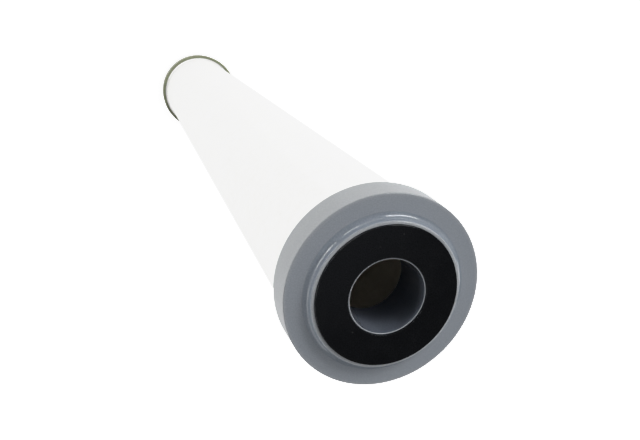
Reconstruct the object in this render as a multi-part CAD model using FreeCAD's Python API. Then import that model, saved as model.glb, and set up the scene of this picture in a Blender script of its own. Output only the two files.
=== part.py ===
"""Ceramic membrane filter cartridge, open at both ends, with a moulded cap and a flat gasket at each end.

The cartridge stands on its rear end. The origin is on its axis, in the plane that it stands on, +Z up.
Every piece is a body of revolution about that axis. Sizes are in millimetres.
"""
import FreeCAD, Part
import math
import os

# Whole cartridge, over both gaskets
overall_length = 508.0

# Porous ceramic tube
tube_outer_diameter = 63.5
tube_inner_diameter = 44.5
tube_edge_round = 0.5

# End cap: skirt round the tube, which narrows towards the cap's face so that it leaves its mould
skirt_wall = 2.4
skirt_taper = 0.4
skirt_overlap = 8.35
skirt_rim_round = 0.4
face_edge_round = 0.3

# End cap: web under the gasket, across the tube's end
web_thickness = 2.8

# End cap: collar round the gasket
collar_height = 3.0
collar_wall = 1.3
collar_foot_round = 2.4
collar_rim_round = 0.5
collar_mouth_round = 0.15

# End cap: spigot that carries the bore
bore_diameter = 27.0
spigot_wall = 0.55
spigot_height = 3.2
spigot_reach = 13.9
spigot_rim_round = 0.15

# End cap: inner ring that closes the glue channel
channel_ring_wall = 2.0
channel_ring_depth = 7.0
channel_ring_round = 0.4
channel_corner_round = 0.4
pocket_corner_round = 0.8

# Adhesive that holds the tube in the channel
outer_bond_gap = 1.5
inner_bond_gap = 1.0
end_bond_gap = 0.8
bond_sink = 0.2

# Flat gasket, which stands out of the collar so that the housing's edge meets it first
gasket_outer_diameter = 50.8
gasket_thickness = 4.0
gasket_rise = 0.7
gasket_clearance = 0.05
gasket_edge_round = 0.15

# Where two arcs of a section meet, a side shorter than this is left out between them
shortest_side = 1e-6

# Radii that follow from the sizes above
tube_outer_radius = tube_outer_diameter / 2
tube_inner_radius = tube_inner_diameter / 2
skirt_inner_radius = tube_outer_radius + outer_bond_gap
cap_radius = skirt_inner_radius + skirt_wall
face_radius = cap_radius - skirt_taper
channel_ring_radius = tube_inner_radius - inner_bond_gap
pocket_radius = channel_ring_radius - channel_ring_wall
bore_radius = bore_diameter / 2
spigot_radius = bore_radius + spigot_wall
gasket_radius = gasket_outer_diameter / 2
seat_radius = gasket_radius + gasket_clearance
collar_radius = seat_radius + collar_wall

# Heights that follow, measured from the cap's flat face, out of the cartridge
gasket_top = collar_height + gasket_rise
seat_height = gasket_top - gasket_thickness
channel_floor = seat_height - web_thickness
tube_end = channel_floor - end_bond_gap
skirt_end = tube_end - skirt_overlap
channel_ring_end = channel_floor - channel_ring_depth
spigot_end = channel_floor - spigot_reach


def flat(radius, height):
    """A point of a section, in the plane through the axis."""
    return FreeCAD.Vector(radius, 0, height)


def directions(points, index):
    """Unit vectors from a corner to the corners before and after it."""
    to_before = points[index - 1] - points[index]
    to_after = points[(index + 1) % len(points)] - points[index]
    return to_before.normalize(), to_after.normalize()


def half_angle(points, index):
    """Half the angle between a corner's two sides."""
    to_before, to_after = directions(points, index)
    return to_before.getAngle(to_after) / 2


def corner_reaches(points, roundings):
    """How far each corner's arc goes along its sides, less where two arcs would meet on a short side."""
    count = len(points)
    wanted = [roundings[index] / math.tan(half_angle(points, index)) for index in range(count)]
    shares = [1.0] * count
    for index in range(count):
        following = (index + 1) % count
        side = (points[following] - points[index]).Length
        both = wanted[index] + wanted[following]
        if both > side:
            shares[index] = min(shares[index], side / both)
            shares[following] = min(shares[following], side / both)
    return [reach * share for reach, share in zip(wanted, shares)]


def corner_points(points, index, reach):
    """Start, middle and end of the arc that rounds a corner, or the corner alone where it is sharp."""
    corner = points[index]
    if reach == 0:
        return [corner]
    to_before, to_after = directions(points, index)
    angle = half_angle(points, index)
    radius = reach * math.tan(angle)
    inward = (to_before + to_after).normalize()
    middle = corner + inward * (radius / math.sin(angle) - radius)
    return [corner + to_before * reach, middle, corner + to_after * reach]


def ring(section):
    """Solid of revolution from a closed section of (radius, height, rounding) corners."""
    points = [flat(radius, height) for radius, height, rounding in section]
    reaches = corner_reaches(points, [rounding for radius, height, rounding in section])
    corners = [corner_points(points, index, reaches[index]) for index in range(len(points))]
    edges = []
    for index, corner in enumerate(corners):
        if len(corner) > 1:
            edges.append(Part.Arc(*corner).toShape())
        following = corners[(index + 1) % len(corners)][0]
        if not corner[-1].isEqual(following, shortest_side):
            edges.append(Part.LineSegment(corner[-1], following).toShape())
    face = Part.Face(Part.Wire(edges))
    return face.revolve(flat(0, 0), FreeCAD.Vector(0, 0, 1), 360)


def end_cap():
    """One moulding: skirt, web, collar, spigot and the inner ring of the glue channel."""
    outside = [
        (cap_radius, skirt_end, skirt_rim_round),
        (face_radius, 0, face_edge_round),
        (collar_radius, 0, collar_foot_round),
        (collar_radius, collar_height, collar_rim_round),
        (seat_radius, collar_height, collar_mouth_round),
    ]
    seat_and_spigot = [
        (seat_radius, seat_height, 0),
        (spigot_radius, seat_height, 0),
        (spigot_radius, spigot_height, spigot_rim_round),
        (bore_radius, spigot_height, spigot_rim_round),
        (bore_radius, spigot_end, spigot_rim_round),
        (spigot_radius, spigot_end, spigot_rim_round),
        (spigot_radius, channel_floor, pocket_corner_round),
    ]
    channel = [
        (pocket_radius, channel_floor, pocket_corner_round),
        (pocket_radius, channel_ring_end, channel_ring_round),
        (channel_ring_radius, channel_ring_end, channel_ring_round),
        (channel_ring_radius, channel_floor, channel_corner_round),
        (skirt_inner_radius, channel_floor, channel_corner_round),
        (skirt_inner_radius, skirt_end, skirt_rim_round),
    ]
    return ring(outside + seat_and_spigot + channel)


def gasket():
    """Flat rubber ring round the spigot, on the seat inside the collar."""
    inner_radius = spigot_radius + gasket_clearance
    return ring([
        (inner_radius, seat_height, 0),
        (gasket_radius, seat_height, 0),
        (gasket_radius, gasket_top, gasket_edge_round),
        (inner_radius, gasket_top, gasket_edge_round),
    ])


def bond_ring():
    """Adhesive in the channel: outside, under and inside the tube's end."""
    outer_top = skirt_end + skirt_rim_round + bond_sink
    inner_top = channel_ring_end + channel_ring_round + bond_sink
    return ring([
        (skirt_inner_radius, outer_top, 0),
        (skirt_inner_radius, channel_floor, channel_corner_round),
        (channel_ring_radius, channel_floor, channel_corner_round),
        (channel_ring_radius, inner_top, 0),
        (tube_inner_radius, inner_top, 0),
        (tube_inner_radius, tube_end, tube_edge_round),
        (tube_outer_radius, tube_end, tube_edge_round),
        (tube_outer_radius, outer_top, 0),
    ])


def ceramic_tube():
    """Plain tube between the two glue channels, already in its place in the cartridge."""
    low_end = gasket_top - tube_end
    high_end = overall_length - low_end
    return ring([
        (tube_inner_radius, low_end, tube_edge_round),
        (tube_outer_radius, low_end, tube_edge_round),
        (tube_outer_radius, high_end, tube_edge_round),
        (tube_inner_radius, high_end, tube_edge_round),
    ])


def at_front(shape):
    """A copy at the upper end, with its gasket's face at the cartridge's top."""
    placed = shape.copy()
    placed.translate(FreeCAD.Vector(0, 0, overall_length - gasket_top))
    return placed


def at_rear(shape):
    """A copy at the lower end, turned over, with its gasket on the ground."""
    placed = shape.copy()
    placed.rotate(flat(0, 0), FreeCAD.Vector(1, 0, 0), 180)
    placed.translate(FreeCAD.Vector(0, 0, gasket_top))
    return placed


def all_pieces():
    """Every piece by its name."""
    pieces = {"ceramic_tube": ceramic_tube()}
    end_pieces = {"end_cap": end_cap(), "gasket": gasket(), "bond_ring": bond_ring()}
    for name, shape in end_pieces.items():
        pieces["front_" + name] = at_front(shape)
        pieces["rear_" + name] = at_rear(shape)
    return pieces


os.makedirs("parts", exist_ok=True)
for name, shape in all_pieces().items():
    shape.exportStep("parts/" + name + ".step")
    print(name, "solids", len(shape.Solids), "volume", round(shape.Volume, 1), "valid", shape.isValid())
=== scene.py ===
import math

import bpy
from mathutils import Matrix, Vector


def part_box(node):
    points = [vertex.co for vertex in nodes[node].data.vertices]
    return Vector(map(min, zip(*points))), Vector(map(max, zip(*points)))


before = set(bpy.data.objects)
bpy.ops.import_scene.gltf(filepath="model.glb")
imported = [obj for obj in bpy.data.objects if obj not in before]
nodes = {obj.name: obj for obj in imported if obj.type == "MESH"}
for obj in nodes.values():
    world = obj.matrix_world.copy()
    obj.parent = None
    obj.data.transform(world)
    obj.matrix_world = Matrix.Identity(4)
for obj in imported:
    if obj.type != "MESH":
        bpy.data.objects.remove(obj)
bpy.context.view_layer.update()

scene = bpy.context.scene

# Sizes and places are in metres, in the frame of the CAD model, and angles are in degrees,
# where nothing else is said. A cap's flat face lies this far in from its gasket's outer face.
FACE_DEPTH = 0.0037
FACE_HEIGHT = round(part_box("front_gasket")[1][2], 4) - FACE_DEPTH
REAR_FACE_HEIGHT = round(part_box("rear_gasket")[0][2], 4) + FACE_DEPTH
FACE_MIDDLE = Vector((0.0, 0.0, FACE_HEIGHT))
LIGHT_DISTANCE = 1.6

# The floor: between which distances from the middle its light fades, as it is seen and as it
# falls on the part. Under the part it is dark, a painted contact shadow, and its light comes up
# in two steps, each between two distances and from nothing to a share of the whole.
FLOOR_RADIUS = 6.0
SEEN_FADES = (1.4, 4.5)
LIGHT_FADES = (2.5, 5.5)
FIRST_STEP = (0.030, 0.0365, 0.0, 0.9)
SECOND_STEP = (0.0355, 0.046, 0.0, 0.1)

# How bright things are, where 1 is white before the tone curve.
FLOOR_SEEN = 1.6
FLOOR_LIGHT = 0.98
HORIZON_LIGHT = 0.8
ROOM_LIGHT = 0.02

# The tone curve: how bright a thing is, and how bright it is shown.
TONES = (
    (0.0, 0.0),
    (0.01, 0.0095),
    (0.3, 0.3),
    (0.6, 0.61),
    (0.75, 0.82),
    (0.9, 0.905),
    (1.1, 0.93),
    (1.3, 0.945),
    (1.6, 1.0),
)

# What the room is like from the near face: the middle and the half width of each bright
# part, its lowest and highest angle above the face, and its brightness. Its edges are
# soft by this angle to either side.
ROOM_EDGE = 2.0
ROOM = (
    (90.0, 16.0, -2.0, 11.0, 3.2),
    (180.0, 18.0, -2.0, 11.0, 3.6),
    (225.0, 30.0, -2.0, 11.0, 2.7),
    (250.0, 24.0, 31.0, 58.0, 0.5),
    (330.0, 18.0, -2.0, 11.0, 4.8),
    (15.0, 22.0, 11.0, 31.0, 1.4),
    (300.0, 45.0, 11.0, 31.0, 0.25),
    (60.0, 30.0, 31.0, 55.0, 0.4),
    (0.0, 181.0, 31.0, 58.0, 0.08),
    (0.0, 181.0, 58.0, 100.0, 0.34),
)

# The soft lights: whether a light only gleams or only shades, its azimuth, elevation, width
# and height from the near face, its radiance, and the one piece that it lights, if any.
LIGHTS = {
    "key_gleam": ("gleam", 51.0, 27.0, 30.0, 17.0, 11.6, None),
    "key_light": ("shade", 51.0, 27.0, 30.0, 17.0, 8.5, None),
    "high_light": ("shade", 42.0, 55.0, 30.0, 20.0, 2.0, None),
    "key_fill": ("shade", 71.0, 26.0, 30.0, 17.0, 1.4, None),
    "low_fill": ("shade", 146.0, -3.0, 34.0, 16.0, 3.9, None),
    "middle_gleam": ("gleam", 110.5, 6.5, 17.0, 5.0, 25.0, None),
    "low_gleam": ("gleam", 148.0, 5.5, 33.0, 5.0, 31.0, None),
    "rear_light": ("shade", 70.0, 27.0, 36.0, 20.0, 6.0, "rear_end_cap"),
    "bond_light": ("shade", 180.0, 22.0, 60.0, 30.0, 5.5, "rear_bond_ring"),
}

# The camera, fitted to the photograph: its lens and sensor in millimetres, where the middle
# of the near face lies in front of it, and which way the filter's axis runs from there. The
# last two are given as right, down and forward.
LENS = 38.065
SENSOR = 36.0
FACE_FROM_CAMERA = Vector((0.021689, 0.024646, 0.228782))
AXIS_FROM_CAMERA = Vector((-0.31780, -0.34160, 1.0))

# The caps' plastics: each one's main tone, and the cooler and the warmer one in its flow marks.
PLASTICS = {
    "front": ((0.338, 0.367, 0.409), (0.329, 0.361, 0.406), (0.347, 0.372, 0.406)),
    "rear": ((0.200, 0.221, 0.143), (0.188, 0.214, 0.135), (0.212, 0.229, 0.154)),
}

# Edges in the finish, by the distance from the part's axis, each from where it begins to where
# it is over: the end of the bore's wall and its painted shade, the end of the tube's inner wall
# and its painted shade, the gasket's outer edge with its painted highlight, and where the
# plastic turns from polished to satin.
BORE_WALL = (0.01351, 0.01355)
TUBE_WALL = (0.0222, 0.0226)
GASKET_EDGE = (0.0251, 0.0253)
SATIN_FACE = (0.0288, 0.0293)

# Painted shade in the bore: its tone at its mouth, and from this depth under the flat face on.
BORE_DARK_FROM = 0.012
BORE_MOUTH = (0.42, 0.44, 0.485)
BORE_DEEP = (0.26, 0.275, 0.32)

# Zones of the plastic, by the distance from the part's axis: where each begins and is full,
# where it fades and is gone, and what it multiplies the colour by. Their tones are painted
# light and shade: painted highlights on the spigot's lip, the collar's rim and the face's edge,
# painted shade on the spigot's crest and at the collar's foot, and on the skirt's side a darker,
# less blue tone in place of the white sheen on it. The skirt's side has its last two distances
# outside the part, so it never fades.
PAINTED_LIGHT_ZONES = {
    "spigot_lip": (0.01351, 0.01355, 0.01366, 0.01376, (1.92, 1.84, 1.72)),
    "spigot_crest": (0.01366, 0.01376, 0.0141, 0.0142, (0.50, 0.50, 0.50)),
    "skirt_side": (0.0350, 0.0352, 0.0400, 0.0410, (0.95, 0.915, 0.855)),
    "face_edge": (0.0338, 0.0348, 0.0350, 0.0352, (1.13, 1.11, 1.08)),
    "collar_foot": (0.0266, 0.0268, 0.0286, 0.02915, (0.74, 0.77, 0.80)),
    "collar_rim": (0.0254, 0.0256, 0.0263, 0.0266, (1.45, 1.40, 1.32)),
}


def make_camera():
    """The camera at the photograph's viewing angle."""
    away = AXIS_FROM_CAMERA.normalized()
    right = Vector((1.0, 0.0, 0.0))
    across = (right - away * right.dot(away)).normalized()
    to_model = Matrix((across, across.cross(away), -away))
    data = bpy.data.cameras.new("camera")
    data.lens = LENS
    data.sensor_width = SENSOR
    data.clip_start = 0.01
    data.clip_end = 50.0
    camera = bpy.data.objects.new("camera", data)
    scene.collection.objects.link(camera)
    place = FACE_MIDDLE - to_model @ FACE_FROM_CAMERA
    turn = to_model @ Matrix.Diagonal((1.0, -1.0, -1.0))
    camera.matrix_world = Matrix.Translation(place) @ turn.to_4x4()
    scene.camera = camera


def rgb(red, green, blue):
    """A colour as a socket takes it."""
    return (red, green, blue, 1.0)


def node(tree, kind, sockets=None, **settings):
    """A shader node with its settings made and its sockets filled or linked."""
    made = tree.nodes.new(kind)
    for name, value in settings.items():
        setattr(made, name, value)
    for key, value in (sockets or {}).items():
        if isinstance(value, bpy.types.NodeSocket):
            tree.links.new(value, made.inputs[key])
        else:
            made.inputs[key].default_value = value
    return made


def maths(tree, how, first, second=0.0):
    """One sum on two numbers."""
    return node(tree, "ShaderNodeMath", {0: first, 1: second}, operation=how).outputs[0]


def times(tree, first, second):
    """Two numbers multiplied."""
    return maths(tree, "MULTIPLY", first, second)


def spread(tree, value, low, high, start=0.0, end=1.0):
    """A number moved from one range to another, smoothly, and held at the ends."""
    sockets = {"Value": value, "From Min": low, "From Max": high, "To Min": start, "To Max": end}
    return node(tree, "ShaderNodeMapRange", sockets, interpolation_type="SMOOTHSTEP").outputs["Result"]


def zone(tree, value, begins, full, fades, gone):
    """A share that is 1 in the middle of a range and 0 outside it."""
    return times(tree, spread(tree, value, begins, full), spread(tree, value, fades, gone, 1.0, 0.0))


def noise(tree, place, scale, detail=2.0, roughness=0.5, distortion=0.0):
    """Smooth noise from 0 to 1, in lumps of about one over scale."""
    sockets = {"Vector": place, "Scale": scale, "Detail": detail, "Roughness": roughness}
    sockets["Distortion"] = distortion
    return node(tree, "ShaderNodeTexNoise", sockets).outputs["Fac"]


def streaks(tree, place, turn, squeeze, detail=2.0, roughness=0.5):
    """Noise in long thin lumps: turned, in radians, and squeezed by a factor along each axis."""
    sockets = {"Vector": place, "Rotation": turn, "Scale": squeeze}
    return noise(tree, node(tree, "ShaderNodeMapping", sockets).outputs[0], 1.0, detail, roughness)


def dots(tree, place, scale, core, edge, picked):
    """Small round dots, about scale of them to the metre, where another share picks them."""
    cells = node(tree, "ShaderNodeTexVoronoi", {"Vector": place, "Scale": scale, "Randomness": 1.0})
    return times(tree, spread(tree, cells.outputs["Distance"], core, edge, 1.0, 0.0), picked)


def mixed(tree, share, first, second, how="MIX"):
    """Two colours mixed by a share from 0 to 1."""
    sockets = {0: share, 6: first, 7: second}
    return node(tree, "ShaderNodeMix", sockets, data_type="RGBA", blend_type=how).outputs[2]


def toned(tree, share, colour, tone):
    """A colour multiplied by a tone, by a share from 0 to 1."""
    return mixed(tree, share, colour, tone, "MULTIPLY")


def bump(tree, height, depth, under=None):
    """A bump of a depth in metres, over another one where there is one."""
    sockets = {"Strength": 1.0, "Distance": depth, "Height": height}
    if under is not None:
        sockets["Normal"] = under
    return node(tree, "ShaderNodeBump", sockets).outputs["Normal"]


def new_material(name):
    """An empty material and its tree."""
    material = bpy.data.materials.new(name)
    material.use_nodes = True
    material.node_tree.nodes.clear()
    return material, material.node_tree


def finish_material(tree, colour, roughness, normal, specular, tint=rgb(1.0, 1.0, 1.0)):
    """The shader at the end of a material."""
    sockets = {
        "Base Color": colour,
        "Roughness": roughness,
        "Normal": normal,
        "Specular IOR Level": specular,
        "Specular Tint": tint,
    }
    shader = node(tree, "ShaderNodeBsdfPrincipled", sockets)
    node(tree, "ShaderNodeOutputMaterial", {"Surface": shader.outputs[0]})


def place_of(tree):
    """The place on the part."""
    return node(tree, "ShaderNodeTexCoord").outputs["Object"]


def radius_of(tree, place):
    """The distance of a place from the part's axis."""
    flat = node(tree, "ShaderNodeVectorMath", {0: place, 1: (1.0, 1.0, 0.0)}, operation="MULTIPLY")
    radius = node(tree, "ShaderNodeVectorMath", {0: flat.outputs[0]}, operation="LENGTH")
    return radius.outputs["Value"]


def depth_of(tree, place):
    """How deep a place lies under the flat face of the cap that it is nearer to."""
    height = node(tree, "ShaderNodeSeparateXYZ", {0: place}).outputs["Z"]
    from_front = maths(tree, "SUBTRACT", FACE_HEIGHT, height)
    from_rear = maths(tree, "SUBTRACT", height, REAR_FACE_HEIGHT)
    return maths(tree, "MINIMUM", from_front, from_rear)


def ceramic():
    """Sintered ceramic: white, matt, with a fine open grain and a few darker pores."""
    white = rgb(0.86, 0.86, 0.845)
    warm = rgb(0.83, 0.82, 0.785)
    bleached = rgb(0.875, 0.875, 0.868)
    dark_pore = rgb(0.55, 0.53, 0.48)
    # Painted shade for the tube's inner wall: a darker, warmer tone.
    inner_painted_shade = rgb(0.82, 0.77, 0.69)
    material, tree = new_material("ceramic")
    place = place_of(tree)
    broad = noise(tree, place, 22.0)
    mottle = noise(tree, place, 240.0, detail=4.0, roughness=0.6)
    grain = noise(tree, place, 2600.0, detail=3.0, roughness=0.65)
    picked = spread(tree, noise(tree, place, 410.0, detail=1.0), 0.52, 0.62)
    pore = dots(tree, place, 950.0, 0.10, 0.24, picked)
    inside = spread(tree, radius_of(tree, place), *TUBE_WALL, 1.0, 0.0)
    colour = mixed(tree, spread(tree, mottle, 0.35, 0.75, 0.0, 0.55), white, warm)
    colour = mixed(tree, spread(tree, broad, 0.3, 0.7, 0.0, 0.35), colour, bleached)
    colour = mixed(tree, times(tree, pore, 0.5), colour, dark_pore)
    # Painted shade: the tube's inner wall is darker and warmer.
    colour = toned(tree, inside, colour, inner_painted_shade)
    roughness = spread(tree, mottle, 0.3, 0.7, 0.68, 0.86)
    normal = bump(tree, mottle, depth=0.00005)
    normal = bump(tree, grain, depth=0.00006, under=normal)
    normal = bump(tree, maths(tree, "SUBTRACT", 1.0, pore), depth=0.00006, under=normal)
    finish_material(tree, colour, roughness, normal, specular=0.35)
    return material


def plastic(name, main, cool, warm):
    """Moulded plastic: satin, with faint flow marks, a fine skin, scuffs, painted highlights on its edges
    and painted shade in its hollows.
    """
    scuffed = rgb(0.62, 0.64, 0.66)
    less = rgb(0.915, 0.920, 0.925)
    more = rgb(1.085, 1.080, 1.075)
    material, tree = new_material(name)
    place = place_of(tree)
    radius = radius_of(tree, place)
    flow = noise(tree, place, 60.0, detail=3.0, roughness=0.55, distortion=0.6)
    mottle = noise(tree, place, 2300.0, roughness=0.6)
    skin = noise(tree, place, 1500.0, detail=3.0, roughness=0.6)
    waves = {"Vector": place, "Scale": 260.0, "Distortion": 1.5, "Detail": 2.0, "Detail Scale": 1.5}
    turned = node(tree, "ShaderNodeTexWave", waves, wave_type="RINGS", rings_direction="Z").outputs["Fac"]
    scuffs = streaks(tree, place, (0.3, 0.4, 0.7), (40.0, 900.0, 700.0), detail=4.0, roughness=0.7)
    scuff = spread(tree, scuffs, 0.66, 0.76)
    colour = mixed(tree, spread(tree, flow, 0.3, 0.7), rgb(*cool), rgb(*warm))
    colour = mixed(tree, 0.7, colour, rgb(*main))
    colour = mixed(tree, times(tree, scuff, 0.12), colour, scuffed)
    colour = toned(tree, 1.0, colour, mixed(tree, spread(tree, mottle, 0.36, 0.64), less, more))
    # Painted shade: the bore's wall is darkened, more so deeper down.
    deep = spread(tree, depth_of(tree, place), 0.0, BORE_DARK_FROM)
    bore_painted_shade = mixed(tree, deep, rgb(*BORE_MOUTH), rgb(*BORE_DEEP))
    colour = toned(tree, spread(tree, radius, *BORE_WALL, 1.0, 0.0), colour, bore_painted_shade)
    # Painted highlights and painted shade, zone by zone.
    for *distances, tone in PAINTED_LIGHT_ZONES.values():
        colour = toned(tree, zone(tree, radius, *distances), colour, rgb(*tone))
    satin = spread(tree, radius, *SATIN_FACE, 0.0, 0.26)
    polish = maths(tree, "ADD", spread(tree, flow, 0.3, 0.7, 0.07, 0.11), satin)
    roughness = maths(tree, "ADD", polish, times(tree, scuff, 0.15))
    normal = bump(tree, skin, depth=0.000006)
    normal = bump(tree, turned, depth=0.0000015, under=normal)
    finish_material(tree, colour, roughness, normal, specular=0.5)
    return material


def rubber():
    """Black sealing rubber: a dull skin with fine grain, specks of dust, light scratches and a painted
    highlight on its outer edge.
    """
    dark = rgb(0.0050, 0.0053, 0.0062)
    dusty = rgb(0.0064, 0.0067, 0.0076)
    # The grey of the painted highlight on the gasket's outer edge.
    edge_highlight_grey = rgb(0.050, 0.050, 0.052)
    dust = rgb(0.06, 0.06, 0.06)
    less = rgb(0.72, 0.72, 0.72)
    more = rgb(1.3, 1.3, 1.3)
    cool_gleam = rgb(0.84, 0.91, 1.0)
    material, tree = new_material("rubber")
    place = place_of(tree)
    cloud = noise(tree, place, 120.0, detail=3.0, roughness=0.6)
    grain = noise(tree, place, 2400.0, detail=3.0, roughness=0.6)
    picked = spread(tree, noise(tree, place, 130.0, detail=1.0), 0.56, 0.62)
    speck = dots(tree, place, 230.0, 0.05, 0.10, picked)
    # Painted highlight: the gasket's outer edge is lighter, in patches.
    outer_edge = spread(tree, radius_of(tree, place), *GASKET_EDGE, 0.0, 0.6)
    edge_highlight = times(tree, outer_edge, spread(tree, cloud, 0.48, 0.60))
    scratches = streaks(tree, place, (0.0, 0.0, 0.9), (60.0, 1100.0, 900.0))
    scratch = times(tree, spread(tree, scratches, 0.70, 0.78), spread(tree, cloud, 0.45, 0.6))
    colour = mixed(tree, spread(tree, cloud, 0.35, 0.75), dark, dusty)
    colour = mixed(tree, edge_highlight, colour, edge_highlight_grey)
    colour = toned(tree, 1.0, colour, mixed(tree, spread(tree, grain, 0.36, 0.64), less, more))
    colour = mixed(tree, times(tree, scratch, 0.10), colour, dust)
    colour = mixed(tree, times(tree, speck, 0.40), colour, dust)
    roughness = spread(tree, cloud, 0.3, 0.7, 0.15, 0.21)
    normal = bump(tree, grain, depth=0.000002)
    finish_material(tree, colour, roughness, normal, specular=0.23, tint=cool_gleam)
    return material


def adhesive():
    """Set bonding compound: off-white, a little glossy, with small ripples and bubbles."""
    pale = rgb(0.90, 0.89, 0.90)
    grey = rgb(0.86, 0.85, 0.85)
    dark_bubble = rgb(0.50, 0.48, 0.43)
    material, tree = new_material("adhesive")
    place = place_of(tree)
    ripple = noise(tree, place, 420.0, detail=3.0, distortion=0.8)
    tone = noise(tree, place, 110.0)
    bubble = dots(tree, place, 700.0, 0.1, 0.2, spread(tree, ripple, 0.5, 0.62))
    colour = mixed(tree, spread(tree, tone, 0.3, 0.7), pale, grey)
    colour = mixed(tree, times(tree, bubble, 0.3), colour, dark_bubble)
    roughness = spread(tree, ripple, 0.3, 0.7, 0.42, 0.62)
    normal = bump(tree, ripple, depth=0.00012)
    finish_material(tree, colour, roughness, normal, specular=0.45)
    return material


def dress(name, material):
    """Gives a CAD node its finished material."""
    for slot in nodes[name].material_slots:
        slot.material = material


def make_floor():
    """A plain pale floor, lit from within like a light table, that runs out to the horizon."""
    white = rgb(1.0, 1.0, 1.0)
    grey = rgb(0.2, 0.2, 0.2)
    bpy.ops.mesh.primitive_circle_add(vertices=128, radius=FLOOR_RADIUS, fill_type="NGON")
    floor = bpy.context.object
    floor.name = "floor"
    material, tree = new_material("floor")
    place = place_of(tree)
    radius = radius_of(tree, place)
    seen = node(tree, "ShaderNodeLightPath").outputs["Is Camera Ray"]
    shown = times(tree, seen, spread(tree, radius, *SEEN_FADES, FLOOR_SEEN, HORIZON_LIGHT))
    unseen = maths(tree, "SUBTRACT", 1.0, seen)
    given = times(tree, unseen, spread(tree, radius, *LIGHT_FADES, FLOOR_LIGHT, HORIZON_LIGHT))
    # Painted shadow: the floor's glow is dark under the part and comes up in two steps around it.
    share = maths(tree, "ADD", spread(tree, radius, *FIRST_STEP), spread(tree, radius, *SECOND_STEP))
    strength = times(tree, maths(tree, "ADD", shown, given), share)
    light = node(tree, "ShaderNodeEmission", {"Color": white, "Strength": strength})
    grain = bump(tree, noise(tree, place, 300.0, detail=3.0), depth=0.00005)
    matt = node(tree, "ShaderNodeBsdfDiffuse", {"Color": grey, "Normal": grain})
    both = node(tree, "ShaderNodeAddShader", {0: light.outputs[0], 1: matt.outputs[0]})
    node(tree, "ShaderNodeOutputMaterial", {"Surface": both.outputs[0]})
    floor.data.materials.append(material)


def bright_part(tree, turn, lift, middle, half, low, top, radiance):
    """One bright part of the room, with soft edges, for the direction being looked in."""
    edge = math.radians(ROOM_EDGE)
    middle, half, low, top = (math.radians(angle) for angle in (middle, half, low, top))
    around = {0: maths(tree, "SUBTRACT", turn, middle), 1: math.pi, 2: -math.pi}
    off = node(tree, "ShaderNodeMath", around, operation="WRAP").outputs[0]
    off = maths(tree, "ABSOLUTE", off)
    strength = spread(tree, off, half - edge, half + edge, radiance, 0.0)
    strength = times(tree, strength, spread(tree, lift, low - edge, low + edge))
    return times(tree, strength, spread(tree, lift, top - edge, top + edge, 1.0, 0.0))


def make_world():
    """A pale backdrop. The filter is lit by the bright parts of a dim room."""
    white = rgb(1.0, 1.0, 1.0)
    world = bpy.data.worlds.new("studio")
    scene.world = world
    world.use_nodes = True
    tree = world.node_tree
    tree.nodes.clear()
    way = node(tree, "ShaderNodeTexCoord").outputs["Generated"]
    sides = node(tree, "ShaderNodeSeparateXYZ", {0: way})
    turn = maths(tree, "ARCTAN2", sides.outputs["Y"], sides.outputs["X"])
    lift = maths(tree, "ARCSINE", sides.outputs["Z"])
    strength = ROOM_LIGHT
    for part in ROOM:
        strength = maths(tree, "ADD", strength, bright_part(tree, turn, lift, *part))
    room = node(tree, "ShaderNodeBackground", {"Color": white, "Strength": strength})
    backdrop = node(tree, "ShaderNodeBackground", {"Color": white, "Strength": HORIZON_LIGHT})
    seen = node(tree, "ShaderNodeLightPath").outputs["Is Camera Ray"]
    both = node(tree, "ShaderNodeMixShader", {0: seen, 1: room.outputs[0], 2: backdrop.outputs[0]})
    node(tree, "ShaderNodeOutputWorld", {"Surface": both.outputs[0]})


def breadth(angle):
    """How broad a light at its distance is for the angle that it fills from the near face."""
    return 2.0 * LIGHT_DISTANCE * math.tan(math.radians(angle / 2.0))


def softbox(name, kind, azimuth, elevation, wide, high, radiance, only_piece):
    """A soft rectangular light, turned to the near face."""
    turn = math.radians(azimuth)
    lift = math.radians(elevation)
    way = Vector((math.cos(turn) * math.cos(lift), math.sin(turn) * math.cos(lift), math.sin(lift)))
    data = bpy.data.lights.new(name, "AREA")
    data.shape = "RECTANGLE"
    data.size = breadth(wide)
    data.size_y = breadth(high)
    data.energy = radiance * math.pi * data.size * data.size_y
    light = bpy.data.objects.new(name, data)
    light.location = FACE_MIDDLE + way * LIGHT_DISTANCE
    light.rotation_mode = "QUATERNION"
    light.rotation_quaternion = way.to_track_quat("Z", "Y")
    light.visible_camera = False
    light.visible_diffuse = kind == "shade"
    light.visible_glossy = kind == "gleam"
    scene.collection.objects.link(light)
    if only_piece is not None:
        lit = bpy.data.collections.new(name + "_receivers")
        lit.objects.link(nodes[only_piece])
        light.light_linking.receiver_collection = lit


def tone_curve():
    """A photograph's tone curve: blacks a little deeper, and whites held below the backdrop's."""
    settings = scene.view_settings
    settings.view_transform = "Standard"
    settings.use_curve_mapping = True
    mapping = settings.curve_mapping
    mapping.white_level = (FLOOR_SEEN,) * 3
    all_colours = mapping.curves[3].points
    for light, shown in TONES[1:-1]:
        all_colours.new(light / FLOOR_SEEN, shown)
    all_colours[len(all_colours) - 1].location = (1.0, TONES[-1][1])
    for point in all_colours:
        point.handle_type = "AUTO_CLAMPED"
    mapping.update()


make_camera()
make_floor()
make_world()
for name, light in LIGHTS.items():
    softbox(name, *light)

cap_plastics = {end: plastic(end + "_plastic", *tones) for end, tones in PLASTICS.items()}
seal = rubber()
bond = adhesive()
dress("ceramic_tube", ceramic())
for end, cap_plastic in cap_plastics.items():
    dress(end + "_end_cap", cap_plastic)
    dress(end + "_gasket", seal)
    dress(end + "_bond_ring", bond)

tone_curve()
